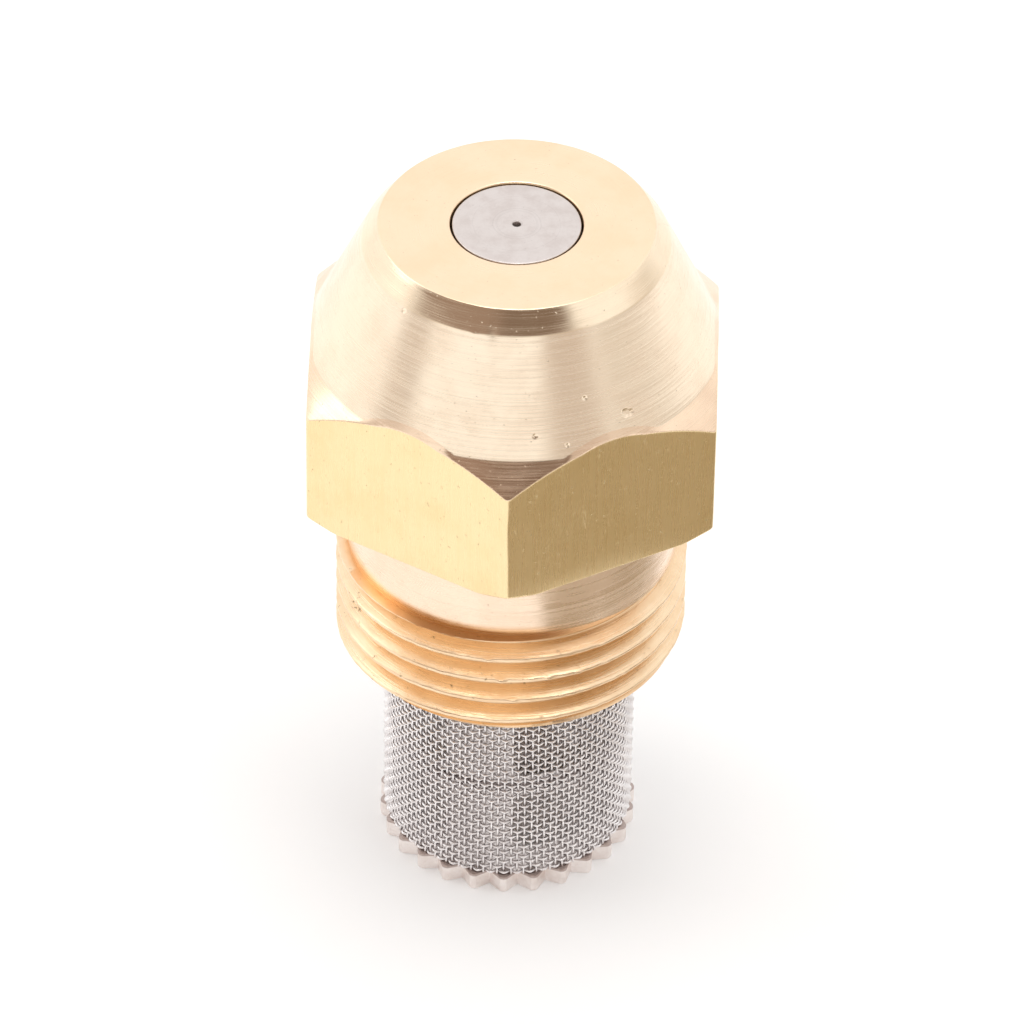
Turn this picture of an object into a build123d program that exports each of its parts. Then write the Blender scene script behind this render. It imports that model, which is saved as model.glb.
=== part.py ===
from build123d import *
import math
import os

# Oil burner nozzle, standing on its strainer with the spray end up.
# Millimetres, +Z is the spray axis, origin at the centre of the strainer's end cap, on its underside.

# Body: hexagon, nose and threaded shank
ACROSS_FLATS = 16.0
CORNER_R = ACROSS_FLATS / math.sqrt(3)
CORNER_FILLET = 0.25
TOP = 30.5
FACE_R = 5.4
NOSE_CHAMFER_Z, NOSE_CHAMFER_R = 29.65, 6.03
CONE_BASE_Z, CONE_BASE_R = 25.17, 8.12
HEX_TOP_CHAMFER_DROP = 1.2
HEX_BOTTOM_Z = 18.86
HEX_BOTTOM_R = 8.65
HEX_BOTTOM_CHAMFER = 0.35
SHANK_END_Z = 9.67
SHANK_END_R = 6.03
SHANK_END_CHAMFER = 0.9

# 9/16 inch - 24 external thread, at a class 2A crest
THREAD_R = 7.05
THREAD_PITCH = 25.4 / 24
THREAD_TOP_Z = 15.0
GROOVE_FRONT_Z = 14.6
NECK_R = 6.65

# Bores of the body
MOUTH_R = 2.6
LIP_Z = 28.6
BORE_R = 4.05
BORE_LOW_Z = 17.6
STRAINER_BORE_R = 4.55
STRAINER_STOP_Z = 12.0
COUNTERBORE_R = 5.27

# Orifice disc
DISC_NOSE_R = 2.52
DISC_FLANGE_R = 3.9
DISC_LOW_Z = 27.4
DISC_SINK = 0.04
ORIFICE_R = 0.15
SWIRL_R = 0.45
SWIRL_LOW_Z, SWIRL_TOP_Z = 29.3, 29.5
ORIFICE_LOW_Z = 29.8
SEAT_R = 2.35

# Swirl distributor
DISTRIBUTOR_R = 3.85
DISTRIBUTOR_FLANGE_Z = 26.2
CONE_GAP = 0.03
PLUG_R = 2.2
PLUG_LOW_Z = 25.0
SWIRL_SLOTS = 3
SWIRL_SLOT = 0.3
OIL_NOTCHES = 4

# Lock screw
LOCK_R = 4.0
FINE_PITCH = 0.75
THREAD_LEAD = 0.35
LOCK_LOW_Z = 19.2
LOCK_CUP_R = 2.5
LOCK_CUP_Z = 24.8
LOCK_PASSAGE_R = 1.0
DRIVER_SLOT_WIDTH, DRIVER_SLOT_DEPTH = 1.0, 1.3

# Strainer collar
COLLAR_R = 4.5
COLLAR_TOP_Z = 15.7
COLLAR_FLANGE_R = 5.1
COLLAR_FLANGE_Z = 11.0
COLLAR_LOW_Z = 9.6
COLLAR_PASSAGE_R = 2.8

# Strainer cage, mesh sleeve and toothed end cap
CAGE_R, CAGE_BORE_R = 4.87, 3.95
CAGE_WINDOWS = 4
WINDOW_ANGLE = 58
WINDOW_ROWS = [(2.2, 5.0), (6.0, 8.8)]
RIB_TURN = -13
MESH_R, MESH_INNER_R = 5.14, 4.92
MESH_TOP_Z = 10.9
CAP_THICKNESS = 0.8
TEETH = 26
TOOTH_TIP_R, TOOTH_ROOT_R = 5.28, 4.8
CAP_SPIGOT_TOP_Z = 2.0
CAP_CUP_Z, CAP_CUP_WALL = 1.1, 0.8
CAP_DISH_R, CAP_DISH_DEPTH = 3.4, 0.2


def turned(outline):
    """Solid of revolution about Z of a closed (radius, height) outline."""
    return revolve(Plane.XZ * make_face(Polyline(*outline, close=True)), axis=Axis.Z)


def round_bar(radius, low_z, top_z):
    """Plain cylinder on the Z axis between two heights."""
    return Pos(0, 0, (low_z + top_z) / 2) * Cylinder(radius, top_z - low_z)


def thread_groove(crest_r, pitch, low_z, top_z, start_angle=0.0):
    """Right-hand 60 degree groove that leaves a flat crest an eighth of the pitch wide."""
    depth = 0.6134 * pitch
    flank = math.tan(math.radians(30))
    lift = 0.08 * pitch
    half_root = pitch / 8
    half_mouth = half_root + (depth + lift) * flank
    outline = [
        (crest_r - depth, low_z - half_root),
        (crest_r + lift, low_z - half_mouth),
        (crest_r + lift, low_z + half_mouth),
        (crest_r - depth, low_z + half_root),
    ]
    profile = Plane.XZ * make_face(Polyline(*outline, close=True))
    path = Helix(pitch, top_z - low_z, crest_r, center=(0, 0, low_z))
    groove = sweep(profile, path=path, is_frenet=True)
    turns = (top_z - low_z) / pitch
    return groove.rotate(Axis.Z, start_angle - 360 * turns)


def hexagon_bar(low_z, top_z):
    """Hexagonal bar with softly rounded corners, one corner towards -Y."""
    bar = extrude(RegularPolygon(CORNER_R, 6, rotation=30), top_z - low_z)
    bar = fillet(bar.edges().filter_by(Axis.Z), CORNER_FILLET)
    return Pos(0, 0, low_z) * bar


def body_head():
    """Nose face, cones and hexagon."""
    chamfer_z = CONE_BASE_Z - HEX_TOP_CHAMFER_DROP
    wide_r = CONE_BASE_R + HEX_TOP_CHAMFER_DROP
    envelope = turned(
        [
            (0, HEX_BOTTOM_Z),
            (HEX_BOTTOM_R, HEX_BOTTOM_Z),
            (wide_r, HEX_BOTTOM_Z + HEX_BOTTOM_CHAMFER),
            (wide_r, chamfer_z),
            (CONE_BASE_R, CONE_BASE_Z),
            (NOSE_CHAMFER_R, NOSE_CHAMFER_Z),
            (FACE_R, TOP),
            (0, TOP),
        ]
    )
    return envelope & hexagon_bar(HEX_BOTTOM_Z - 1, TOP + 1)


def body_shank():
    """Relief neck under the hexagon, then the threaded end with its lead chamfer."""
    thread = round_bar(THREAD_R, SHANK_END_Z, THREAD_TOP_Z)
    thread -= thread_groove(
        THREAD_R,
        THREAD_PITCH,
        SHANK_END_Z - THREAD_PITCH,
        GROOVE_FRONT_Z + THREAD_PITCH,
        -90,
    )
    end = turned(
        [
            (0, SHANK_END_Z),
            (SHANK_END_R, SHANK_END_Z),
            (THREAD_R + 0.2, SHANK_END_Z + SHANK_END_CHAMFER * 1.2),
            (THREAD_R + 0.2, THREAD_TOP_Z),
            (0, THREAD_TOP_Z),
        ]
    )
    return (thread & end) + round_bar(NECK_R, THREAD_TOP_Z, HEX_BOTTOM_Z + 0.5)


def body_hollow():
    """Stepped hollow: nose mouth, orifice and lock screw bore, strainer thread bore, counterbore."""
    return turned(
        [
            (0, SHANK_END_Z - 1),
            (COUNTERBORE_R + 0.2, SHANK_END_Z - 1),
            (COUNTERBORE_R + 0.2, SHANK_END_Z),
            (COUNTERBORE_R, SHANK_END_Z + 0.2),
            (COUNTERBORE_R, STRAINER_STOP_Z),
            (STRAINER_BORE_R, STRAINER_STOP_Z),
            (STRAINER_BORE_R, BORE_LOW_Z),
            (BORE_R, BORE_LOW_Z + 0.3),
            (BORE_R, LIP_Z),
            (MOUTH_R, LIP_Z),
            (MOUTH_R, TOP - 0.06),
            (MOUTH_R + 0.06, TOP),
            (MOUTH_R + 0.06, TOP + 1),
            (0, TOP + 1),
        ]
    )


def nozzle_body():
    return body_head() + body_shank() - body_hollow()


def orifice_disc():
    """Stepped disc, its nose nearly flush with the body's face, coned inside up to the spray hole."""
    top = TOP - DISC_SINK
    return turned(
        [
            (SEAT_R, DISC_LOW_Z),
            (DISC_FLANGE_R, DISC_LOW_Z),
            (DISC_FLANGE_R, LIP_Z),
            (DISC_NOSE_R, LIP_Z),
            (DISC_NOSE_R, top - 0.08),
            (DISC_NOSE_R - 0.08, top),
            (ORIFICE_R, top),
            (ORIFICE_R, ORIFICE_LOW_Z),
            (SWIRL_R, SWIRL_TOP_Z),
            (SWIRL_R, SWIRL_LOW_Z),
        ]
    )


def swirl_slot(turn):
    """Cutter for one slot up the cone, tangent to the swirl chamber."""
    cone_angle = math.degrees(math.atan2(SWIRL_LOW_Z - DISC_LOW_Z, SEAT_R - SWIRL_R))
    mid_r = (SEAT_R + SWIRL_R) / 2
    mid_z = (SWIRL_LOW_Z + DISC_LOW_Z) / 2
    cutter = Rot(0, cone_angle, 0) * Box(4, SWIRL_SLOT, SWIRL_SLOT * 2)
    return Rot(0, 0, turn) * Pos(mid_r, SWIRL_R - SWIRL_SLOT / 2, mid_z) * cutter


def swirl_distributor():
    """Flanged plug whose cone fills the disc's seat, with tangential slots and oil notches."""
    tip_r = SWIRL_R + CONE_GAP
    plug = turned(
        [
            (0, PLUG_LOW_Z),
            (PLUG_R - 0.2, PLUG_LOW_Z),
            (PLUG_R, PLUG_LOW_Z + 0.2),
            (PLUG_R, DISTRIBUTOR_FLANGE_Z),
            (DISTRIBUTOR_R, DISTRIBUTOR_FLANGE_Z),
            (DISTRIBUTOR_R, DISC_LOW_Z),
            (SEAT_R - CONE_GAP, DISC_LOW_Z),
            (tip_r, DISC_LOW_Z + SEAT_R - CONE_GAP - tip_r),
            (0, DISC_LOW_Z + SEAT_R - CONE_GAP - tip_r),
        ]
    )
    for i in range(SWIRL_SLOTS):
        plug -= swirl_slot(360 * i / SWIRL_SLOTS)
    notch = Pos(DISTRIBUTOR_R, 0, DISC_LOW_Z - 0.6) * Box(2.6, 0.8, 1.3)
    for i in range(OIL_NOTCHES):
        plug -= Rot(0, 0, 360 * i / OIL_NOTCHES) * notch
    return plug


def lock_screw():
    """Hollow screw: driver slot below, cup and cross channels above for the oil."""
    top_z = DISTRIBUTOR_FLANGE_Z
    screw = round_bar(LOCK_R, LOCK_LOW_Z, top_z)
    screw -= thread_groove(LOCK_R, FINE_PITCH, LOCK_LOW_Z - FINE_PITCH, top_z + FINE_PITCH)
    screw &= turned(
        [
            (LOCK_PASSAGE_R, LOCK_LOW_Z),
            (LOCK_R - THREAD_LEAD, LOCK_LOW_Z),
            (LOCK_R + 0.1, LOCK_LOW_Z + THREAD_LEAD + 0.1),
            (LOCK_R + 0.1, top_z - THREAD_LEAD - 0.1),
            (LOCK_R - THREAD_LEAD, top_z),
            (LOCK_CUP_R, top_z),
            (LOCK_CUP_R, LOCK_CUP_Z),
            (LOCK_PASSAGE_R, LOCK_CUP_Z),
        ]
    )
    slot = Box(3 * LOCK_R, DRIVER_SLOT_WIDTH, 2 * DRIVER_SLOT_DEPTH)
    screw -= Pos(0, 0, LOCK_LOW_Z) * slot
    channel = Box(3 * LOCK_R, 0.8, 1.2)
    for turn in (45, 135):
        screw -= Pos(0, 0, top_z) * Rot(0, 0, turn) * channel
    return screw


def strainer_collar():
    """Threaded collar with the flange that stops on the body's step, and a spigot for the cage."""
    low_z = STRAINER_STOP_Z + 0.6 * FINE_PITCH
    stub = round_bar(COLLAR_R, STRAINER_STOP_Z, COLLAR_TOP_Z)
    stub -= thread_groove(COLLAR_R, FINE_PITCH, low_z, COLLAR_TOP_Z + FINE_PITCH)
    stub &= turned(
        [
            (0, STRAINER_STOP_Z),
            (COLLAR_R + 0.1, STRAINER_STOP_Z),
            (COLLAR_R + 0.1, COLLAR_TOP_Z - THREAD_LEAD - 0.1),
            (COLLAR_R - THREAD_LEAD, COLLAR_TOP_Z),
            (0, COLLAR_TOP_Z),
        ]
    )
    collar = stub + round_bar(COLLAR_FLANGE_R, COLLAR_FLANGE_Z, STRAINER_STOP_Z)
    collar += round_bar(CAGE_BORE_R, COLLAR_LOW_Z, COLLAR_FLANGE_Z)
    return collar - round_bar(COLLAR_PASSAGE_R, COLLAR_LOW_Z - 1, COLLAR_TOP_Z + 1)


def window_cutter(low_z, top_z):
    """Cutter for one rounded window through the cage wall, opening towards +X."""
    width = 2 * CAGE_R * math.sin(math.radians(WINDOW_ANGLE / 2))
    opening = Plane.YZ * RectangleRounded(width, top_z - low_z, 0.6)
    return Pos(CAGE_BORE_R - 1.2, 0, (low_z + top_z) / 2) * extrude(opening, 4)


def strainer_cage():
    """Tube that holds the mesh out, with two rows of windows either side of a middle ring."""
    tube = turned(
        [
            (CAGE_BORE_R, CAP_THICKNESS),
            (CAGE_R, CAP_THICKNESS),
            (CAGE_R, COLLAR_FLANGE_Z),
            (CAGE_BORE_R, COLLAR_FLANGE_Z),
        ]
    )
    for low_z, top_z in WINDOW_ROWS:
        cutter = window_cutter(low_z, top_z)
        for i in range(CAGE_WINDOWS):
            turn = RIB_TURN - 90 + 360 * (i + 0.5) / CAGE_WINDOWS
            tube -= Rot(0, 0, turn) * cutter
    return tube


def strainer_mesh():
    """The woven sleeve's envelope, as a plain thin tube."""
    return turned(
        [
            (MESH_INNER_R, CAP_THICKNESS),
            (MESH_R, CAP_THICKNESS),
            (MESH_R, MESH_TOP_Z),
            (MESH_INNER_R, MESH_TOP_Z),
        ]
    )


def toothed_outline():
    """Points of the V teeth, each tip with a small land."""
    land = 0.12 * 360 / TEETH
    points = []
    for i in range(TEETH):
        middle = -90 + 360 * i / TEETH
        corners = [
            (TOOTH_TIP_R, middle - land),
            (TOOTH_TIP_R, middle + land),
            (TOOTH_ROOT_R, middle + 180 / TEETH),
        ]
        for r, angle in corners:
            turn = math.radians(angle)
            points.append((r * math.cos(turn), r * math.sin(turn)))
    return points


def strainer_end_cap():
    """Toothed disc that closes the cage, with a cupped spigot inside it and a shallow dish below."""
    cap = extrude(make_face(Polyline(*toothed_outline(), close=True)), CAP_THICKNESS)
    cap += round_bar(CAGE_BORE_R, CAP_THICKNESS, CAP_SPIGOT_TOP_Z)
    cap -= round_bar(CAGE_BORE_R - CAP_CUP_WALL, CAP_CUP_Z, CAP_SPIGOT_TOP_Z + 1)
    return cap - round_bar(CAP_DISH_R, -1, CAP_DISH_DEPTH)


PARTS = {
    "nozzle_body": nozzle_body,
    "orifice_disc": orifice_disc,
    "swirl_distributor": swirl_distributor,
    "lock_screw": lock_screw,
    "strainer_collar": strainer_collar,
    "strainer_cage": strainer_cage,
    "strainer_mesh": strainer_mesh,
    "strainer_end_cap": strainer_end_cap,
}

os.makedirs("parts", exist_ok=True)
for node, make in PARTS.items():
    export_step(make(), f"parts/{node}.step")
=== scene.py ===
import math

import bpy
import numpy as np
from mathutils import Matrix, Vector


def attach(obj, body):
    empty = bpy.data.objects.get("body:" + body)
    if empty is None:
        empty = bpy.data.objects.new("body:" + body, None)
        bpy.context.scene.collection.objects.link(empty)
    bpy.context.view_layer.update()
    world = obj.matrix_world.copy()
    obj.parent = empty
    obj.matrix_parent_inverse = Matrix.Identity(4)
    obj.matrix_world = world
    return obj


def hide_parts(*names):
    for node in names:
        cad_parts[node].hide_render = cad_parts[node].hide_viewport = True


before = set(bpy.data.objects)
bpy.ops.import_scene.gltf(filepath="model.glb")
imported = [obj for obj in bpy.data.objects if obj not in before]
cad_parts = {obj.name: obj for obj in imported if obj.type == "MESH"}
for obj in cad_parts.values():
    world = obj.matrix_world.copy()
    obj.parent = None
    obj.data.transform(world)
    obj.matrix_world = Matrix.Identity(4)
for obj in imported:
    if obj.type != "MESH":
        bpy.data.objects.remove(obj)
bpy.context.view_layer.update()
MM = 0.001
RNG = np.random.default_rng(7)

# Sizes in millimetres, the same as the CAD model's
ACROSS_FLATS = 16.0
CORNER_ROUND = 0.28
TOP = 30.5
FACE_R = 5.4
NOSE_Z, NOSE_R = 29.65, 6.03
CONE_Z, CONE_R = 25.17, 8.12
HEX_LOW_Z, HEX_LOW_R = 18.86, 8.65
HEX_LOW_CHAMFER = 0.35
CREST_R = 7.05
PITCH = 25.4 / 24
THREAD_DEPTH = 0.6134 * PITCH
CREST_FRONT_Z = 14.6 + PITCH / 2
SHOULDER_Z, NECK_R = 15.0, 6.65
END_Z, END_R = 9.67, 6.03
END_CHAMFER_Z = 10.57
MOUTH_R = 2.6
LIP_Z = 28.6
BORE_R, BORE_LOW_Z = 4.05, 17.6
STRAINER_BORE_R, STRAINER_STOP_Z = 4.55, 12.0
COUNTERBORE_R = 5.27
DISC_SINK, DISC_LOW_Z = 0.04, 27.4
DISC_NOSE_R, DISC_FLANGE_R, DISC_SEAT_R = 2.52, 3.9, 2.35
ORIFICE_R, SWIRL_R = 0.15, 0.45
ORIFICE_LOW_Z, SWIRL_TOP_Z, SWIRL_LOW_Z = 29.8, 29.5, 29.3
SLEEVE_MID_R = 5.03
SLEEVE_LOW_Z, SLEEVE_TOP_Z = 0.8, 10.9
TEETH = 26
TIP_R, ROOT_R = 5.28, 4.8
CAP_T = 0.8


# ---------------------------------------------------------------- mesh helpers

def new_mesh(name, verts, faces, materials=(), slots=None, sharp_deg=35):
    """Mesh object from points in millimetres, welded and smooth-shaded with sharp creases."""
    mesh = bpy.data.meshes.new(name)
    mesh.from_pydata((np.asarray(verts) * MM).tolist(), [], faces)
    for m in materials:
        mesh.materials.append(m)
    if slots is not None:
        mesh.polygons.foreach_set("material_index", np.asarray(slots, np.int32))
    obj = bpy.data.objects.new(name, mesh)
    bpy.context.scene.collection.objects.link(obj)
    weld(mesh)
    mesh.polygons.foreach_set("use_smooth", [True] * len(mesh.polygons))
    mesh.set_sharp_from_angle(angle=math.radians(sharp_deg))
    mesh.update()
    return obj


def weld(mesh, distance=2e-7):
    """Joins coincident points, drops zero-area faces and turns the normals outwards."""
    import bmesh
    bm = bmesh.new()
    bm.from_mesh(mesh)
    bmesh.ops.remove_doubles(bm, verts=bm.verts, dist=distance)
    bmesh.ops.dissolve_degenerate(bm, edges=bm.edges, dist=distance)
    bmesh.ops.recalc_face_normals(bm, faces=bm.faces)
    bm.to_mesh(mesh)
    bm.free()


def round_corners(points, radii, arc_steps, runs):
    """Rounds a polyline's inner corners. points is (K, columns, 2); every column gets the same rows.
    Returns the rows as (rows, columns, 2) and, for each row, the index of the run it belongs to."""
    k = len(points)
    rows, owner = [], []
    leave = points[0]
    for i in range(1, k):
        if i < k - 1:
            a, b, c = points[i - 1], points[i], points[i + 1]
            ab, bc = b - a, c - b
            la = np.linalg.norm(ab, axis=-1, keepdims=True) + 1e-12
            lc = np.linalg.norm(bc, axis=-1, keepdims=True) + 1e-12
            cut = np.minimum(radii[i], np.minimum(la, lc) * 0.45)
            enter, out = b - ab / la * cut, b + bc / lc * cut
        else:
            enter = points[i]
        for s in range(runs[i - 1]):
            t = s / runs[i - 1]
            rows.append(leave * (1 - t) + enter * t)
            owner.append(i - 1)
        if i == k - 1:
            rows.append(enter)
            owner.append(i - 1)
            break
        n = arc_steps[i]
        for s in range(n):
            t = s / n
            rows.append(enter * (1 - t) ** 2 + 2 * b * t * (1 - t) + out * t * t)
            owner.append(i - 1 if t < 0.5 else i)
        leave = out
    return np.array(rows), owner


def lathe(name, profile, material, segments):
    """Turned piece from a closed (r, z) profile; points at r = 0 are welded."""
    p = np.asarray(profile, float)
    a = np.arange(segments) * 2 * np.pi / segments
    n = len(p)
    verts = np.zeros((n, segments, 3))
    verts[:, :, 0] = p[:, 0:1] * np.cos(a)
    verts[:, :, 1] = p[:, 0:1] * np.sin(a)
    verts[:, :, 2] = p[:, 1:2]
    faces = []
    for i in range(n):
        j = (i + 1) % n
        for s in range(segments):
            t = (s + 1) % segments
            faces.append((i * segments + s, i * segments + t, j * segments + t, j * segments + s))
    return new_mesh(name, verts.reshape(-1, 3), faces, [material])


# ---------------------------------------------------------------- material helpers

class Nodes:
    """Short way to wire a node material."""

    def __init__(self, name):
        self.material = bpy.data.materials.new(name)
        self.material.use_nodes = True
        self.tree = self.material.node_tree
        self.tree.nodes.clear()
        self.out = self.add("ShaderNodeOutputMaterial")
        self.shader = self.add("ShaderNodeBsdfPrincipled")
        self.link(self.shader.outputs[0], self.out.inputs[0])

    def add(self, kind, **values):
        node = self.tree.nodes.new(kind)
        for key, value in values.items():
            setattr(node, key, value)
        return node

    def link(self, source, target):
        self.tree.links.new(source, target)

    def math(self, operation, a, b=None):
        node = self.add("ShaderNodeMath", operation=operation)
        for i, value in enumerate((a, b)):
            if value is None:
                continue
            if isinstance(value, (int, float)):
                node.inputs[i].default_value = value
            else:
                self.link(value, node.inputs[i])
        return node.outputs[0]

    def times(self, a, b):
        return self.math("MULTIPLY", a, b)

    def plus(self, a, b):
        return self.math("ADD", a, b)

    def position(self):
        """Object coordinates in millimetres: x, y, z and the radius from the axis."""
        coord = self.add("ShaderNodeTexCoord")
        scale = self.add("ShaderNodeVectorMath", operation="SCALE")
        scale.inputs["Scale"].default_value = 1000.0
        self.link(coord.outputs["Object"], scale.inputs[0])
        split = self.add("ShaderNodeSeparateXYZ")
        self.link(scale.outputs[0], split.inputs[0])
        x, y, z = split.outputs
        r = self.math("SQRT", self.plus(self.times(x, x), self.times(y, y)))
        return scale.outputs[0], x, y, z, r

    def combine(self, x, y, z):
        node = self.add("ShaderNodeCombineXYZ")
        for i, value in enumerate((x, y, z)):
            if isinstance(value, (int, float)):
                node.inputs[i].default_value = value
            else:
                self.link(value, node.inputs[i])
        return node.outputs[0]

    def scaled(self, *terms):
        """Vector of three values, each with its own factor."""
        return self.combine(*(self.times(value, factor) for value, factor in terms))

    def noise(self, vector, scale=1.0, detail=3.0, roughness=0.55, distortion=0.0):
        node = self.add("ShaderNodeTexNoise")
        self.link(vector, node.inputs["Vector"])
        node.inputs["Scale"].default_value = scale
        node.inputs["Detail"].default_value = detail
        node.inputs["Roughness"].default_value = roughness
        node.inputs["Distortion"].default_value = distortion
        return node.outputs["Fac"]

    def spread(self, value, low, high, to_low=0.0, to_high=1.0, smooth=True):
        node = self.add("ShaderNodeMapRange", clamp=True)
        node.interpolation_type = "SMOOTHSTEP" if smooth else "LINEAR"
        self.link(value, node.inputs["Value"])
        node.inputs["From Min"].default_value = low
        node.inputs["From Max"].default_value = high
        node.inputs["To Min"].default_value = to_low
        node.inputs["To Max"].default_value = to_high
        return node.outputs["Result"]

    def mix(self, factor, a, b, blend="MIX"):
        node = self.add("ShaderNodeMix", data_type="RGBA", blend_type=blend)
        for socket, value in ((node.inputs["Factor"], factor), (node.inputs["A"], a), (node.inputs["B"], b)):
            if isinstance(value, (int, float)):
                socket.default_value = value
            elif isinstance(value, tuple):
                socket.default_value = (*value, 1.0)
            else:
                self.link(value, socket)
        return node.outputs["Result"]

    def bump(self, height, strength, distance_mm, normal=None):
        node = self.add("ShaderNodeBump")
        node.inputs["Strength"].default_value = strength
        node.inputs["Distance"].default_value = distance_mm * MM
        self.link(height, node.inputs["Height"])
        if normal is not None:
            self.link(normal, node.inputs["Normal"])
        return node.outputs["Normal"]

    def surface(self, colour=None, roughness=None, normal=None, metallic=1.0):
        s = self.shader
        s.inputs["Metallic"].default_value = metallic
        for socket, value in (("Base Color", colour), ("Roughness", roughness), ("Normal", normal)):
            if value is None:
                continue
            if isinstance(value, (int, float)):
                s.inputs[socket].default_value = value
            elif isinstance(value, tuple):
                s.inputs[socket].default_value = (*value, 1.0)
            else:
                self.link(value, s.inputs[socket])
        return self.material


def turned_brass(name, base, dark, rough, line_mm, line_bump, grime, painted_reflection_low=None, chips=()):
    """Lathe-turned brass: rings of fine tool lines round the Z axis, soft tarnish and tiny pits.
    The height and colour before chips paint a reflection: that colour below the height, fading out towards
    +X. chips are small dents: x, y, z and radius in millimetres."""
    n = Nodes(name)
    pos, x, y, z, r = n.position()
    drift = n.noise(pos, 0.35, 2.0)
    lines = n.noise(n.scaled((r, 1 / line_mm), (z, 1 / line_mm), (drift, 2.0)), 1.0, 2.0, 0.6)
    broad = n.noise(n.scaled((r, 2.2), (z, 2.2), (drift, 3.0)), 1.0, 2.0)
    pits = n.spread(n.noise(pos, 9.0, 2.0, 0.5), 0.70, 0.80)
    blotch = n.noise(pos, 0.55, 4.0, 0.6)
    tone = n.spread(blotch, 0.35, 0.70)
    colour = n.mix(n.times(tone, grime), base, dark)
    colour = n.mix(n.spread(lines, 0.62, 0.80, 0.0, 0.30), colour, dark)
    colour = n.mix(n.times(pits, 0.55), colour, tuple(c * 0.45 for c in dark))
    line_rough = n.spread(lines, 0.3, 0.7, rough - 0.05, rough + 0.09)
    rough_v = n.plus(line_rough, n.spread(blotch, 0.3, 0.7, -0.02, 0.06))
    # painted reflection: orange colour below a height, fading out towards +X
    if painted_reflection_low:
        level, reflected_colour = painted_reflection_low
        below = n.spread(z, level - 0.25, level + 0.15, 0.9, 0.0)
        colour = n.mix(n.times(below, n.spread(x, 0.5, 3.5, 1.0, 0.0)), colour, reflected_colour)
    normal = n.bump(n.plus(lines, n.times(broad, 0.8)), 0.55, line_bump)
    normal = n.bump(n.times(pits, -1.0), 0.5, 0.02, normal)
    for cx, cy, cz, size in chips:
        far = n.add("ShaderNodeVectorMath", operation="DISTANCE")
        n.link(pos, far.inputs[0])
        far.inputs[1].default_value = (cx, cy, cz)
        ragged = n.plus(far.outputs["Value"], n.times(n.noise(pos, 6.0, 2.0), 0.12))
        normal = n.bump(n.spread(ragged, size - 0.06, size + 0.10, -1.0, 0.0), 0.9, 0.05, normal)
    return n.surface(colour, rough_v, normal)


def drawn_brass(name, base, dark, rough=0.26):
    """Bright drawn bar: long fine streaks along Z, scattered pits and small scratches."""
    n = Nodes(name)
    pos, x, y, z, r = n.position()
    streak = n.noise(n.scaled((x, 9.0), (y, 9.0), (z, 0.35)), 1.0, 4.0, 0.6)
    fine = n.noise(n.scaled((x, 30.0), (y, 30.0), (z, 1.1)), 1.0, 2.0, 0.6)
    pits = n.spread(n.noise(pos, 6.0, 3.0, 0.6), 0.66, 0.74)
    blotch = n.noise(pos, 0.45, 4.0, 0.6)
    slant = n.combine(n.times(x, 3.0), n.times(y, 3.0), n.plus(n.times(z, 1.2), n.times(x, 1.5)))
    scratch = n.spread(n.noise(slant, 1.0, 6.0, 0.75, 0.6), 0.64, 0.70)
    colour = n.mix(n.spread(streak, 0.35, 0.72, 0.0, 0.18), base, dark)
    colour = n.mix(n.spread(blotch, 0.40, 0.75, 0.0, 0.55), colour, dark)
    colour = n.mix(n.times(pits, 0.6), colour, tuple(c * 0.5 for c in dark))
    rough_v = n.plus(n.spread(streak, 0.3, 0.7, rough - 0.01, rough + 0.05), n.times(pits, 0.2))
    mottle = n.noise(pos, 3.0, 4.0, 0.6)
    height = n.plus(n.times(streak, 0.5), n.plus(n.times(fine, 0.3), mottle))
    normal = n.bump(height, 0.5, 0.004)
    normal = n.bump(n.plus(n.times(pits, -1.0), n.times(scratch, -0.4)), 0.5, 0.02, normal)
    return n.surface(colour, rough_v, normal)


def thread_brass(name, base, dark):
    """Cut thread: tool lines along the flanks, painted shade darkening the grooves towards their roots, and
    brown grime specks, strongest towards -X.
    """
    n = Nodes(name)
    pos, x, y, z, r = n.position()
    lines = n.noise(n.combine(n.times(r, 14.0), n.times(z, 14.0), n.noise(pos, 0.3, 2.0)), 1.0, 2.0, 0.6)
    blotch = n.noise(pos, 0.8, 5.0, 0.65)
    speck = n.spread(n.noise(pos, 3.4, 5.0, 0.7), 0.60, 0.70)
    # painted shade: darker towards the groove roots
    depth = n.spread(r, CREST_R - THREAD_DEPTH, CREST_R - 0.10, 1.0, 0.0)
    colour = n.mix(n.spread(blotch, 0.35, 0.70, 0.0, 0.35), base, dark)
    colour = n.mix(n.times(depth, 0.45), colour, dark)
    grime = n.times(n.times(speck, n.spread(blotch, 0.42, 0.58)), n.spread(x, -3.0, 3.0, 1.0, 0.35))
    colour = n.mix(n.times(grime, 0.8), colour, (0.16, 0.09, 0.035))
    rough_v = n.plus(n.spread(lines, 0.3, 0.7, 0.24, 0.36), n.times(grime, 0.3))
    height = n.plus(lines, n.times(n.noise(pos, 5.0, 3.0), 0.8))
    return n.surface(colour, rough_v, n.bump(height, 0.5, 0.016))


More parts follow.
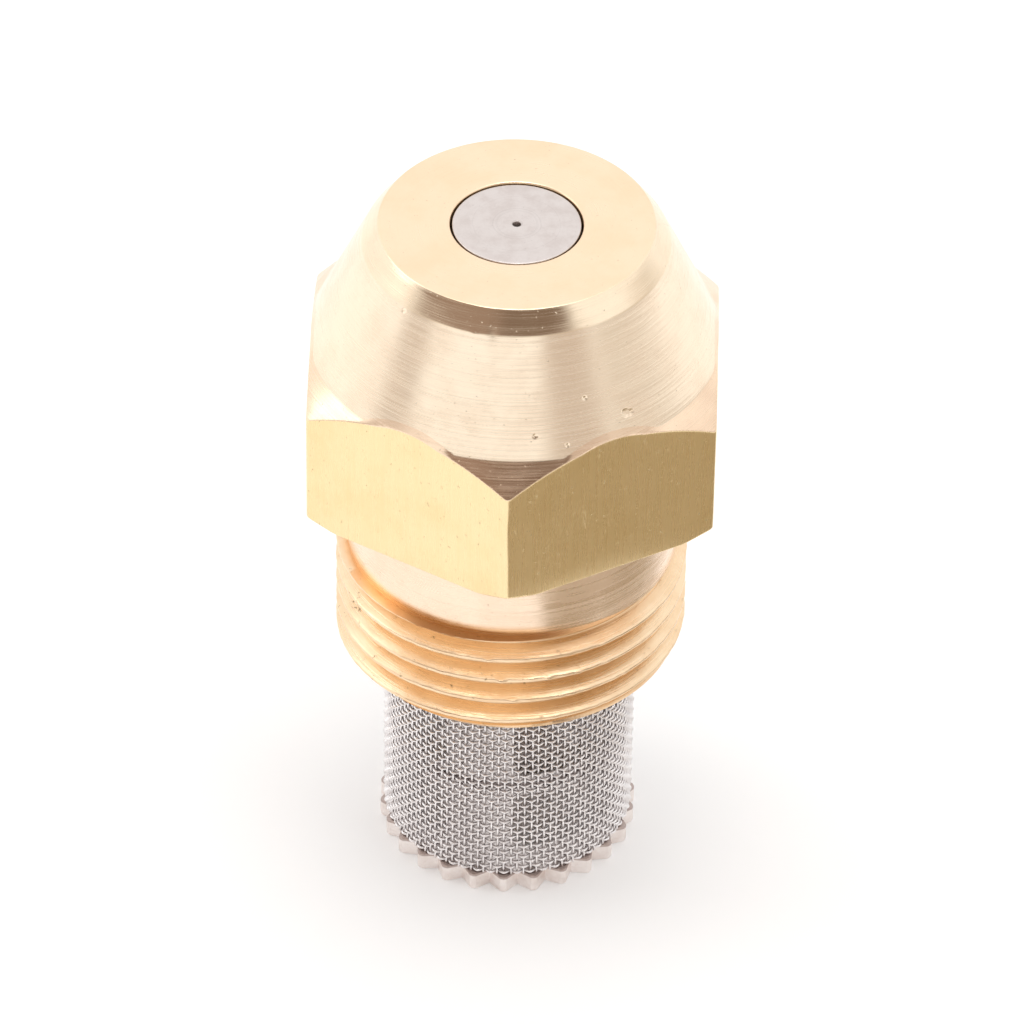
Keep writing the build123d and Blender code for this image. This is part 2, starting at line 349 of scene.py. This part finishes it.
def disc_steel(name):
    """Ground stainless: faint tool arcs, stains and specks."""
    n = Nodes(name)
    pos, x, y, z, r = n.position()
    drift = n.noise(pos, 0.5, 2.0)
    wavy = n.combine(n.plus(n.times(r, 9.0), n.times(drift, 2.5)), n.times(z, 12.0), 0.0)
    arcs = n.noise(wavy, 1.0, 3.0, 0.6)
    stain = n.noise(pos, 1.6, 5.0, 0.65)
    speck = n.spread(n.noise(pos, 8.0, 3.0, 0.6), 0.70, 0.76)
    colour = n.mix(n.spread(stain, 0.35, 0.70, 0.0, 0.5), (0.73, 0.665, 0.635), (0.58, 0.51, 0.48))
    colour = n.mix(n.spread(arcs, 0.54, 0.68, 0.0, 0.45), colour, (0.40, 0.36, 0.34))
    colour = n.mix(n.times(speck, 0.6), colour, (0.22, 0.20, 0.19))
    rough_v = n.spread(stain, 0.3, 0.7, 0.34, 0.48)
    return n.surface(colour, rough_v, n.bump(n.plus(arcs, stain), 0.4, 0.008))


def plated_steel(name, base, dark, rough, shade_band_z=None):
    """Satin plated steel with fine grain and soft stains. The last argument paints shade: it darkens a band
    between two heights to a given colour.
    """
    n = Nodes(name)
    pos, x, y, z, r = n.position()
    grain = n.noise(pos, 7.0, 4.0, 0.65)
    stain = n.noise(pos, 1.1, 4.0, 0.6)
    colour = n.mix(n.spread(stain, 0.35, 0.70, 0.0, 0.55), base, dark)
    colour = n.mix(n.spread(grain, 0.55, 0.75, 0.0, 0.30), colour, dark)
    # painted shade: a darker band between two heights
    if shade_band_z:
        low, high, shade = shade_band_z
        painted_shade_band = n.times(n.spread(z, low, low + 0.08), n.spread(z, high, high + 0.08, 0.85, 0.0))
        colour = n.mix(painted_shade_band, colour, shade)
    rough_v = n.spread(grain, 0.3, 0.7, rough - 0.06, rough + 0.12)
    return n.surface(colour, rough_v, n.bump(grain, 0.45, 0.02))


def wire_steel(name, base, dark):
    """Drawn stainless wire, with painted shade on the sleeve's inner side, where the wires dip under the
    crossing wires.
    """
    n = Nodes(name)
    pos, x, y, z, r = n.position()
    grain = n.noise(pos, 12.0, 2.0, 0.5)
    stain = n.noise(pos, 0.9, 4.0, 0.6)
    # painted shade: darker towards the inside of the sleeve
    inner_shade = n.spread(r, SLEEVE_MID_R - 0.08, SLEEVE_MID_R + 0.07, 1.0, 0.0)
    colour = n.mix(n.spread(stain, 0.35, 0.70, 0.0, 0.4), base, dark)
    colour = n.mix(n.times(inner_shade, 0.65), colour, dark)
    rough_v = n.spread(grain, 0.3, 0.7, 0.30, 0.45)
    return n.surface(colour, rough_v, n.bump(grain, 0.3, 0.006))


def on_cone(azimuth_deg, z, size):
    """Point on the cone's surface, with a radius, in millimetres."""
    r = NOSE_R + (CONE_R - NOSE_R) * (NOSE_Z - z) / (NOSE_Z - CONE_Z)
    a = math.radians(azimuth_deg)
    return r * math.cos(a), r * math.sin(a), z, size


CONE_CHIPS = (
    on_cone(-54.6, 26.22, 0.17), on_cone(-52.8, 26.16, 0.15), on_cone(-66.6, 27.2, 0.10),
    on_cone(-133.5, 29.5, 0.10), on_cone(-82.6, 26.08, 0.10), on_cone(-73.6, 25.64, 0.09),
)

# height, and the colour of a painted reflection below it, low on the neck under the hex
NECK_PAINTED_REFLECTION = (15.45, (0.88, 0.49, 0.21))
# lower and upper height, and the colour of a painted shade between them
# painted shadow of the woven sleeve on the tops of the cap's teeth
TOOTH_TOP_PAINTED_SHADOW = (0.66, 0.90, (0.40, 0.31, 0.28))
# painted shade on the cage's middle ring, behind the sleeve
CAGE_RING_PAINTED_SHADE = (5.30, 5.62, (0.22, 0.17, 0.16))

# turned brass: light and dark colour, roughness, line spacing in mm, line depth in mm, tarnish
TURNED = {
    "face": ((0.985, 0.77, 0.55), (0.93, 0.67, 0.44), 0.32, 0.10, 0.003, 0.40),
    "chamfer": ((0.99, 0.82, 0.61), (0.84, 0.62, 0.42), 0.17, 0.06, 0.005, 0.25),
    "cone": ((0.99, 0.83, 0.64), (0.84, 0.63, 0.45), 0.20, 0.10, 0.010, 0.30, None, CONE_CHIPS),
    "hex_chamfer": ((0.97, 0.75, 0.55), (0.80, 0.56, 0.40), 0.20, 0.09, 0.007, 0.35),
    # the shank's last value is a painted reflection on its neck
    "shank": ((0.99, 0.79, 0.61), (0.86, 0.62, 0.44), 0.24, 0.12, 0.008, 0.25, NECK_PAINTED_REFLECTION),
    "bore": ((0.70, 0.50, 0.28), (0.40, 0.25, 0.12), 0.35, 0.12, 0.012, 0.4),
}
MATERIALS = {key: turned_brass("brass_" + key, *look) for key, look in TURNED.items()}
MATERIALS |= {
    "hex": drawn_brass("brass_hex", (0.97, 0.77, 0.45), (0.88, 0.67, 0.35)),
    "thread": thread_brass("brass_thread", (0.97, 0.74, 0.50), (0.80, 0.52, 0.28)),
    "disc": disc_steel("disc_steel"),
    # the cap's dark band is the sleeve's painted shadow
    "cap": plated_steel("cap_plating", (0.96, 0.90, 0.87), (0.76, 0.66, 0.61), 0.36, TOOTH_TOP_PAINTED_SHADOW),
    # the cage's dark band is painted shade
    "cage": plated_steel("cage_plating", (0.95, 0.91, 0.90), (0.74, 0.69, 0.67), 0.42, CAGE_RING_PAINTED_SHADE),
    "mesh": wire_steel("wire_steel", (0.99, 0.96, 0.955), (0.73, 0.69, 0.69)),
}


# ---------------------------------------------------------------- nozzle body

# azimuth in degrees, height, width in degrees and size in millimetres
CREST_BURRS = (
    (-96.0, 14.06, 1.3, 0.09), (-91.7, 13.00, 1.4, 0.08), (-87.5, 11.96, 1.1, 0.07),
    (-93.0, 10.90, 1.0, 0.05), (-108.0, 15.0, 0.9, 0.06), (-104.0, 15.0, 0.8, 0.05),
    (-99.5, 15.0, 0.9, 0.06), (-120.0, 15.0, 1.0, 0.04), (-66.0, 13.07, 1.2, 0.05),
    (-58.0, 14.17, 1.2, 0.05), (-72.0, 12.0, 1.2, 0.05), (-76.0, 13.03, 1.0, 0.04),
)
# azimuth in degrees, height, radius and depth in millimetres; a negative depth stands out
DENTS = (
    (-104.0, 29.62, 0.12, -0.02), (-97.0, 29.66, 0.12, 0.025), (-88.9, 22.4, 0.12, 0.08),
    (-90.5, 20.6, 0.10, 0.06), (-90.0, 19.4, 0.13, 0.09),
)


def column_angles():
    """Azimuths of the columns, once round from the back, denser at the hexagon's corners and in front."""
    start = math.radians(-270)
    parts = [np.linspace(start, start + 2 * math.pi, 181)]
    for k in range(-4, 4):
        corner = -math.pi / 2 + k * math.pi / 3
        parts.append(corner + np.radians(np.linspace(-1.25, 1.25, 9)))
    parts.append(-math.pi / 2 + np.radians(np.linspace(-40, 40, 81)))
    angles = np.unique(np.round(np.concatenate(parts), 5))
    angles = angles[(angles > start) & (angles < start + 2 * math.pi)]
    return np.concatenate([[start], angles, [start + 2 * math.pi]])


def hex_radius(angles):
    """Distance from the axis to the rounded hexagon at each azimuth."""
    corner = ACROSS_FLATS / math.sqrt(3)
    off = (angles + math.pi / 2 + math.pi / 6) % (math.pi / 3) - math.pi / 6
    flat = ACROSS_FLATS / 2 / np.cos(math.pi / 6 - np.abs(off))
    centre = corner - CORNER_ROUND / math.sin(math.pi / 3)
    run = CORNER_ROUND / math.tan(math.pi / 3)
    limit = math.atan2(run * math.sin(math.pi / 3), corner - run * math.cos(math.pi / 3))
    inside = np.maximum(CORNER_ROUND**2 - (centre * np.sin(off)) ** 2, 0)
    rounded = centre * np.cos(off) + np.sqrt(inside)
    return np.where(np.abs(off) < limit, rounded, flat)


def head_rows(angles):
    """Rows from the nose's mouth to the top of the thread, one (r, z) per column."""
    h = hex_radius(angles)
    one = np.ones_like(h)

    def at(r, z):
        return np.stack([r * one, z * one], -1)

    cone_slope = (NOSE_Z - CONE_Z) / (CONE_R - NOSE_R)
    above = np.minimum(CONE_R, h - 0.16)
    vertex_z = np.where(h < CONE_R, CONE_Z + (CONE_R - h) * cone_slope, CONE_Z - (h - CONE_R))
    low_out_z = HEX_LOW_Z + np.maximum(h - HEX_LOW_R, 0) * HEX_LOW_CHAMFER / 0.67
    low_in = np.minimum(HEX_LOW_R, h - 0.12)
    points = np.array([
        at(MOUTH_R, TOP - 0.3),
        at(MOUTH_R, TOP - 0.05),
        at(MOUTH_R + 0.05, TOP),
        at(FACE_R, TOP),
        at(NOSE_R, NOSE_Z),
        at(above, CONE_Z + (CONE_R - above) * cone_slope),
        at(h, vertex_z),
        at(h, low_out_z),
        at(low_in, HEX_LOW_Z),
        at(NECK_R, HEX_LOW_Z),
        at(NECK_R, SHOULDER_Z),
    ])
    radii = [0, 0.03, 0.03, 0.04, 0.07, 0.05, 0.07, 0.08, 0.05, 0.15, 0]
    arcs = [0, 2, 2, 3, 3, 3, 4, 3, 3, 3, 0]
    runs = [1, 1, 8, 3, 12, 3, 6, 2, 3, 6]
    return round_corners(points, radii, arcs, runs)


# shares of the pitch, from the crest to the root, where the thread has a row
PHASES = np.array([0, 0.035, 0.05, 0.0625, 0.08, 0.12, 0.22, 0.33, 0.36, 0.375, 0.395, 0.44, 0.5])


def groove_depth(phase):
    """Depth below the crest at a phase of 0 (crest) to 0.5 (root), with softened corners."""
    d = np.abs((phase + 0.5) % 1.0 - 0.5)
    total = np.zeros_like(d)
    for shift in (-0.02, -0.01, 0.0, 0.01, 0.02):
        total += np.clip((np.abs(d + shift) - 0.0625) / 0.3125, 0, 1)
    return THREAD_DEPTH * total / 5


def thread_rows(angles):
    """Rows that follow the helix, cut off level by the shoulder above and the shank's end below."""
    crest_z = CREST_FRONT_Z + (angles + math.pi / 2) / (2 * math.pi) * PITCH
    steps = np.concatenate([PHASES[:-1], 1 - PHASES[:0:-1]])
    turns = int(math.ceil((crest_z[-1] + PITCH - END_Z) / PITCH))
    drops = np.concatenate([steps + k for k in range(turns)])
    rows = []
    for d in drops:
        z = np.clip(crest_z + PITCH - d * PITCH, END_Z, SHOULDER_Z)
        depth = groove_depth((crest_z - z) / PITCH)
        on_crest = np.clip(1 - depth / 0.08, 0, 1)
        lag = z * 4
        ragged = np.sin(angles * 37 + lag) * np.sin(angles * 13 + lag * 0.7) + 0.6 * np.sin(angles * 71 + lag)
        r = CREST_R - depth + 0.010 * ragged * on_crest
        for azimuth, height, width, size in CREST_BURRS:
            gap = (np.degrees(angles) - azimuth + 180) % 360 - 180
            r = r + size * np.exp(-((gap / width) ** 2) - ((z - height) / 0.09) ** 2) * on_crest
        slope = (CREST_R - END_R) / (END_CHAMFER_Z - END_Z)
        rows.append(np.stack([np.minimum(r, END_R + (z - END_Z) * slope), z], -1))
    return np.array(rows)


def end_rows(angles):
    """Rows from the shank's end through the hollow and back to the mouth."""
    one = np.ones_like(angles)

    def at(r, z):
        return np.stack([r * one, z * one], -1)

    points = np.array([
        at(END_R, END_Z), at(COUNTERBORE_R + 0.2, END_Z), at(COUNTERBORE_R, END_Z + 0.2),
        at(COUNTERBORE_R, STRAINER_STOP_Z), at(STRAINER_BORE_R, STRAINER_STOP_Z),
        at(STRAINER_BORE_R, BORE_LOW_Z), at(BORE_R, BORE_LOW_Z + 0.3),
        at(BORE_R, LIP_Z), at(MOUTH_R, LIP_Z), at(MOUTH_R, TOP - 0.3),
    ])
    radii = [0] + [0.04] * 8 + [0]
    arcs = [0] + [2] * 8 + [0]
    runs = [2, 1, 2, 1, 2, 1, 3, 1, 1]
    return round_corners(points, radii, arcs, runs)[0][1:]


def nozzle_body():
    """The brass body: one closed column of points at each azimuth, with a material for each zone."""
    angles = column_angles()
    cols = len(angles)
    head, owner = head_rows(angles)
    thread = thread_rows(angles)
    rows = np.concatenate([head, thread, end_rows(angles)])
    for azimuth, z0, size, depth in DENTS:
        gap = (angles - math.radians(azimuth) + math.pi) % (2 * math.pi) - math.pi
        far = np.hypot(gap[None, :] * rows[:, :, 0], rows[:, :, 1] - z0)
        rows[:, :, 0] -= depth * np.exp(-((far / size) ** 2)) * (rows[:, :, 0] > NOSE_R - 0.4)
    verts = np.stack([rows[:, :, 0] * np.cos(angles), rows[:, :, 0] * np.sin(angles), rows[:, :, 1]], -1)
    names = ["face", "chamfer", "cone", "hex_chamfer", "hex", "shank", "bore", "thread"]
    run_slot = [6, 0, 0, 1, 2, 3, 4, 5, 5, 5]
    slots, faces = [], []
    total = len(rows)
    for i in range(total):
        j = (i + 1) % total
        if i < len(head) - 1:
            slot = run_slot[owner[i]]
        elif i < len(head) + len(thread):
            slot = 7
        else:
            slot = 6
        for c in range(cols - 1):
            faces.append((i * cols + c, i * cols + c + 1, j * cols + c + 1, j * cols + c))
            slots.append(slot)
    return new_mesh("brass_body", verts.reshape(-1, 3), faces, [MATERIALS[k] for k in names], slots, 40)


body = nozzle_body()
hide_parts("nozzle_body")
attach(body, "nozzle")


# ---------------------------------------------------------------- orifice disc

def profile_arc(a, b, c, steps):
    """Points rounding the corner b between a and c."""
    a, b, c = (np.array(p, float) for p in (a, b, c))
    return [tuple(a * (1 - t) ** 2 + 2 * b * t * (1 - t) + c * t * t) for t in np.linspace(0, 1, steps + 1)]


disc_top = TOP - DISC_SINK
disc_profile = [
    (DISC_SEAT_R, DISC_LOW_Z), (DISC_FLANGE_R, DISC_LOW_Z), (DISC_FLANGE_R, LIP_Z),
    (DISC_NOSE_R, LIP_Z), (DISC_NOSE_R, disc_top - 0.10),
]
disc_profile += profile_arc((2.52, disc_top - 0.07), (2.52, disc_top), (2.45, disc_top), 4)
disc_profile += [(r, disc_top) for r in (2.2, 1.6, 1.0, 0.5, 0.26)]
disc_profile += profile_arc((0.20, disc_top), (0.165, disc_top), (0.165, disc_top - 0.05), 4)
disc_profile += [
    (ORIFICE_R, disc_top - 0.12), (ORIFICE_R, ORIFICE_LOW_Z), (SWIRL_R, SWIRL_TOP_Z), (SWIRL_R, SWIRL_LOW_Z),
]
disc = lathe("steel_orifice_disc", disc_profile, MATERIALS["disc"], 160)
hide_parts("orifice_disc")
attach(disc, "swirl_stack")


# ---------------------------------------------------------------- woven sleeve

# upright wires round the sleeve, spacing of the rings, then each wire's radius and sway in millimetres
WARP = 116
WEFT_PITCH = 0.2745
WARP_R, WARP_CRIMP = 0.048, 0.032
WEFT_R, WEFT_CRIMP = 0.056, 0.075


def tube_along(centres, sides, radius, closed):
    """Verts and faces of round wires that lie near an upright cylinder. centres is (wires, points, 3)."""
    wires, count, _ = centres.shape
    ahead = np.roll(centres, -1, 1) - np.roll(centres, 1, 1)
    if not closed:
        ahead[:, 0] = centres[:, 1] - centres[:, 0]
        ahead[:, -1] = centres[:, -1] - centres[:, -2]
    ahead /= np.linalg.norm(ahead, axis=-1, keepdims=True)
    radial = centres * np.array([1, 1, 0])
    radial /= np.linalg.norm(radial, axis=-1, keepdims=True)
    side = np.cross(ahead, radial)
    side /= np.linalg.norm(side, axis=-1, keepdims=True)
    up = np.cross(side, ahead)
    turn = np.arange(sides) * 2 * np.pi / sides
    across = np.cos(turn)[None, None, :, None] * up[:, :, None]
    across = across + np.sin(turn)[None, None, :, None] * side[:, :, None]
    ring = centres[:, :, None] + radius * across
    index = np.arange(wires * count * sides).reshape(wires, count, sides)
    if closed:
        a, b = index, np.roll(index, -1, 1)
    else:
        a, b = index[:, :-1], index[:, 1:]
    faces = np.stack([a, np.roll(a, -1, 2), np.roll(b, -1, 2), b], -1).reshape(-1, 4).tolist()
    if not closed:
        faces += [tuple(row[::-1]) for row in index[:, 0].tolist()]
        faces += [tuple(row) for row in index[:, -1].tolist()]
    return ring.reshape(-1, 3), faces


def wire_mesh(name, verts, faces):
    mesh = bpy.data.meshes.new(name)
    mesh.from_pydata((verts * MM).tolist(), [], faces)
    mesh.materials.append(MATERIALS["mesh"])
    mesh.polygons.foreach_set("use_smooth", [True] * len(mesh.polygons))
    mesh.update()
    obj = bpy.data.objects.new(name, mesh)
    bpy.context.scene.collection.objects.link(obj)
    return obj


def woven_sleeve():
    """Plain weave: upright wires and rings that pass over and under each other."""
    low, high = SLEEVE_LOW_Z + 0.02, SLEEVE_TOP_Z
    rings = int((high - low - 0.1) / WEFT_PITCH)
    first = low + 0.10
    per_cell = 4
    z = np.linspace(low, first + rings * WEFT_PITCH + 0.03, rings * per_cell + 3)
    wires = np.arange(WARP)
    uneven = 0.004 * np.sin(wires[:, None] * 2.3)
    wander = 0.0012 * np.sin(z[None, :] * 1.7 + wires[:, None])
    angle = wires[:, None] * 2 * np.pi / WARP + uneven + wander
    sway = WARP_CRIMP * np.cos(np.pi * (z[None, :] - first) / WEFT_PITCH + np.pi * wires[:, None])
    r = SLEEVE_MID_R - 0.025 + sway
    warp = np.stack([r * np.cos(angle), r * np.sin(angle), np.broadcast_to(z, r.shape)], -1)
    k = np.arange(rings + 1)
    steps = WARP * per_cell
    t = np.arange(steps) * 2 * np.pi / steps
    sway = -WEFT_CRIMP * np.cos(np.pi * k[:, None] + WARP / 2 * t[None, :])
    r = SLEEVE_MID_R - 0.025 + sway
    height = first + k[:, None] * WEFT_PITCH + 0.008 * np.sin(t[None, :] * 5 + k[:, None] * 1.3)
    weft = np.stack([r * np.cos(t), r * np.sin(t), np.broadcast_to(height, r.shape)], -1)
    made = []
    for name, centres, size, closed in (
        ("mesh_warp_wires", warp, WARP_R, False), ("mesh_weft_wires", weft, WEFT_R, True),
    ):
        verts, faces = tube_along(centres, 5, size, closed)
        made.append(wire_mesh(name, verts, faces))
    return made


warp, weft = woven_sleeve()
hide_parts("strainer_mesh")
for piece in (warp, weft):
    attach(piece, "mesh_sleeve")


# ---------------------------------------------------------------- toothed end cap

def toothed_cap():
    """Toothed disc with rounded tooth edges, a dish below and a cupped spigot above."""
    land = 0.10 * 360 / TEETH
    outline = []
    for i in range(TEETH):
        middle = -90 + 360 * i / TEETH
        tip = TIP_R + RNG.uniform(-0.03, 0.0)
        for r, turn in (
            (ROOT_R, middle - 180 / TEETH + 0.10 * land), (tip - 0.03, middle - land), (tip, middle),
            (tip - 0.03, middle + land), (ROOT_R, middle + 180 / TEETH - 0.10 * land),
        ):
            outline.append((r, math.radians(turn)))
    o = np.array(outline)
    # rings of the cap: a round one's radius, or a toothed one's inset, and the height
    rings = [
        (3.4, None, 0.2), (3.45, None, 0.02), (3.5, None, 0.0),
        (None, 0.07, 0.0), (None, 0.02, 0.02), (None, 0.0, 0.07),
        (None, 0.0, CAP_T - 0.07), (None, 0.02, CAP_T - 0.02), (None, 0.07, CAP_T),
        (3.95, None, CAP_T), (3.95, None, 1.95), (3.9, None, 2.0), (3.15, None, 2.0), (3.15, None, 1.1),
        (0.0, None, 1.1),
    ]
    verts = []
    for radius, inset, z in rings:
        r = np.full(len(o), radius) if radius is not None else o[:, 0] - inset
        verts.append(np.stack([r * np.cos(o[:, 1]), r * np.sin(o[:, 1]), np.full(len(o), z)], -1))
    verts.append(np.stack([0 * o[:, 0], 0 * o[:, 0], np.full(len(o), 0.2)], -1))
    verts = np.array(verts)
    n, m = verts.shape[:2]
    faces = []
    for i in range(n):
        j = (i + 1) % n
        for c in range(m):
            d = (c + 1) % m
            faces.append((i * m + c, i * m + d, j * m + d, j * m + c))
    return new_mesh("toothed_end_cap", verts.reshape(-1, 3), faces, [MATERIALS["cap"]], None, 28)


cap = toothed_cap()
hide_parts("strainer_end_cap")
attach(cap, "strainer")


# ---------------------------------------------------------------- inner CAD pieces keep their shape

def dress(node, material):
    """New material on a CAD node's own slots."""
    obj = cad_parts[node]
    for s in obj.material_slots:
        s.material = material


dress("strainer_cage", MATERIALS["cage"])
collar_look = ((0.88, 0.66, 0.38), (0.55, 0.36, 0.18), 0.28, 0.12, 0.012, 0.3)
dress("strainer_collar", turned_brass("brass_collar", *collar_look))
lock_look = ((0.86, 0.64, 0.36), (0.52, 0.34, 0.17), 0.28, 0.12, 0.012, 0.3)
dress("lock_screw", turned_brass("brass_lock_screw", *lock_look))
dress("swirl_distributor", plated_steel("distributor_steel", (0.66, 0.62, 0.60), (0.42, 0.38, 0.36), 0.3))


# ---------------------------------------------------------------- floor, light and camera

def floor():
    n = Nodes("floor_white")
    pos, x, y, z, r = n.position()
    grain = n.noise(pos, 0.05, 3.0)
    colour = n.mix(n.spread(grain, 0.3, 0.7, 0.0, 0.3), (0.89, 0.89, 0.89), (0.87, 0.87, 0.87))
    n.surface(colour, 0.9, n.bump(n.noise(pos, 0.4, 2.0), 0.1, 0.01), metallic=0.0)
    n.shader.inputs["Emission Color"].default_value = (1.0, 1.0, 1.0, 1.0)
    n.shader.inputs["Emission Strength"].default_value = 0.15
    mesh = bpy.data.meshes.new("studio_floor")
    half = 0.9
    corners = [(-half, -half, 0), (half, -half, 0), (half, half, 0), (-half, half, 0)]
    mesh.from_pydata(corners, [], [(0, 1, 2, 3)])
    mesh.materials.append(n.material)
    obj = bpy.data.objects.new("studio_floor", mesh)
    bpy.context.scene.collection.objects.link(obj)


WORLD_STRENGTH = 1.08
# degrees: azimuth where a patch fades in (2) and out (2), the same for elevation, then its colour
WORLD_PATCHES = (
    (-92, -66, 36, 50, 17, 29, 56, 68, (0.20, 0.145, 0.115)),
    (12, 26, 42, 60, -30, -10, 22, 30, (0.60, 0.54, 0.50)),
    (-80, -70, -60, -50, -20, 0, 18, 26, (0.62, 0.57, 0.54)),
    (44, 62, 100, 130, -40, -10, 8, 20, (0.68, 0.64, 0.60)),
    (-84, -64, -22, -2, 17, 29, 56, 68, (0.31, 0.23, 0.19)),
)


def dim_card():
    """Dull brown card on the floor to the front right; only reflections show it."""
    n = Nodes("card_brown")
    n.surface((0.37, 0.31, 0.225), 0.9, metallic=0.0)
    mesh = bpy.data.meshes.new("reflection_card")
    corners = [(9, -17), (9, -70), (75, -70), (75, 14), (24, 14), (19, -12)]
    mesh.from_pydata([(x * MM, y * MM, 0.05 * MM) for x, y in corners], [], [tuple(range(6))])
    mesh.materials.append(n.material)
    obj = bpy.data.objects.new("reflection_card", mesh)
    bpy.context.scene.collection.objects.link(obj)
    obj.visible_camera = False
    obj.visible_diffuse = False
    obj.visible_shadow = False


def direction(azimuth, elevation):
    """Unit vector; azimuth 0 points towards the camera's side, -Y, and 90 towards +X."""
    a, e = math.radians(azimuth), math.radians(elevation)
    return Vector((math.sin(a) * math.cos(e), -math.cos(a) * math.cos(e), math.sin(e)))


def studio_world():
    """White light tent with a dark brown opening on the camera's side and dimmer patches round it."""
    world = bpy.data.worlds.new("studio")
    bpy.context.scene.world = world
    world.use_nodes = True
    tree = world.node_tree
    tree.nodes.clear()
    out = tree.nodes.new("ShaderNodeOutputWorld")
    back = tree.nodes.new("ShaderNodeBackground")
    tree.links.new(back.outputs[0], out.inputs[0])
    coord = tree.nodes.new("ShaderNodeTexCoord")
    split = tree.nodes.new("ShaderNodeSeparateXYZ")
    tree.links.new(coord.outputs["Generated"], split.inputs[0])

    def calc(operation, a, b=None):
        node = tree.nodes.new("ShaderNodeMath")
        node.operation = operation
        for i, value in enumerate((a, b)):
            if isinstance(value, (int, float)):
                node.inputs[i].default_value = value
            elif value is not None:
                tree.links.new(value, node.inputs[i])
        return node.outputs[0]

    def ramp(value, start, end):
        node = tree.nodes.new("ShaderNodeMapRange")
        node.interpolation_type = "SMOOTHSTEP"
        tree.links.new(value, node.inputs["Value"])
        node.inputs["From Min"].default_value = start
        node.inputs["From Max"].default_value = end
        return node.outputs["Result"]

    azimuth = calc("DEGREES", calc("ARCTAN2", split.outputs[0], calc("MULTIPLY", split.outputs[1], -1.0)))
    elevation = calc("DEGREES", calc("ARCSINE", split.outputs[2]))
    colour = None
    # each patch: azimuth rise and fall, elevation rise and fall, all in degrees, then its shade
    for a0, a1, a2, a3, e0, e1, e2, e3, shade in WORLD_PATCHES:
        across = calc("MULTIPLY", ramp(azimuth, a0, a1), ramp(azimuth, a3, a2))
        upright = calc("MULTIPLY", ramp(elevation, e0, e1), ramp(elevation, e3, e2))
        mix = tree.nodes.new("ShaderNodeMix")
        mix.data_type = "RGBA"
        tree.links.new(calc("MULTIPLY", across, upright), mix.inputs["Factor"])
        if colour is None:
            mix.inputs["A"].default_value = (1.0, 1.0, 1.0, 1.0)
        else:
            tree.links.new(colour, mix.inputs["A"])
        mix.inputs["B"].default_value = (*shade, 1.0)
        colour = mix.outputs["Result"]
    tree.links.new(colour, back.inputs["Color"])
    back.inputs["Strength"].default_value = WORLD_STRENGTH


def area_light(name, azimuth, elevation, distance, size, power):
    data = bpy.data.lights.new(name, "AREA")
    data.shape = "DISK"
    data.size = size
    data.energy = power
    obj = bpy.data.objects.new(name, data)
    aim = Vector((0, 0, 0.018))
    away = direction(azimuth, elevation)
    obj.location = aim + away * distance
    obj.rotation_mode = "QUATERNION"
    obj.rotation_quaternion = away.to_track_quat("Z", "Y")
    bpy.context.scene.collection.objects.link(obj)


def camera():
    """Long lens from the front, 39 degrees above the horizon."""
    data = bpy.data.cameras.new("camera")
    data.sensor_width = 36
    data.lens = 265.8
    data.clip_start, data.clip_end = 0.01, 10
    obj = bpy.data.objects.new("camera", data)
    azimuth, elevation, distance = 0.0190030, 0.6846705, 0.300
    pitch, roll = -0.011841, 0.0165602
    aim = Vector((0, 0, 0.0205))
    flat = math.cos(elevation)
    away = Vector((math.sin(azimuth) * flat, -math.cos(azimuth) * flat, math.sin(elevation)))
    forward = -away
    right = forward.cross(Vector((0, 0, 1))).normalized()
    up = right.cross(forward)
    forward = (forward * math.cos(pitch) + up * math.sin(pitch)).normalized()
    up = right.cross(forward)
    tilted_right = right * math.cos(roll) + up * math.sin(roll)
    tilted_up = up * math.cos(roll) - right * math.sin(roll)
    turn = Matrix((tilted_right, tilted_up, -forward)).transposed()
    obj.matrix_world = Matrix.Translation(aim + away * distance) @ turn.to_4x4()
    bpy.context.scene.collection.objects.link(obj)
    bpy.context.scene.camera = obj


floor()
dim_card()
studio_world()
area_light("key_overhead", 0, 84, 0.5, 0.35, 0.6)
area_light("fill_left", -100, 35, 0.5, 0.30, 0.2)
camera()
bpy.context.scene.view_settings.view_transform = "Standard"
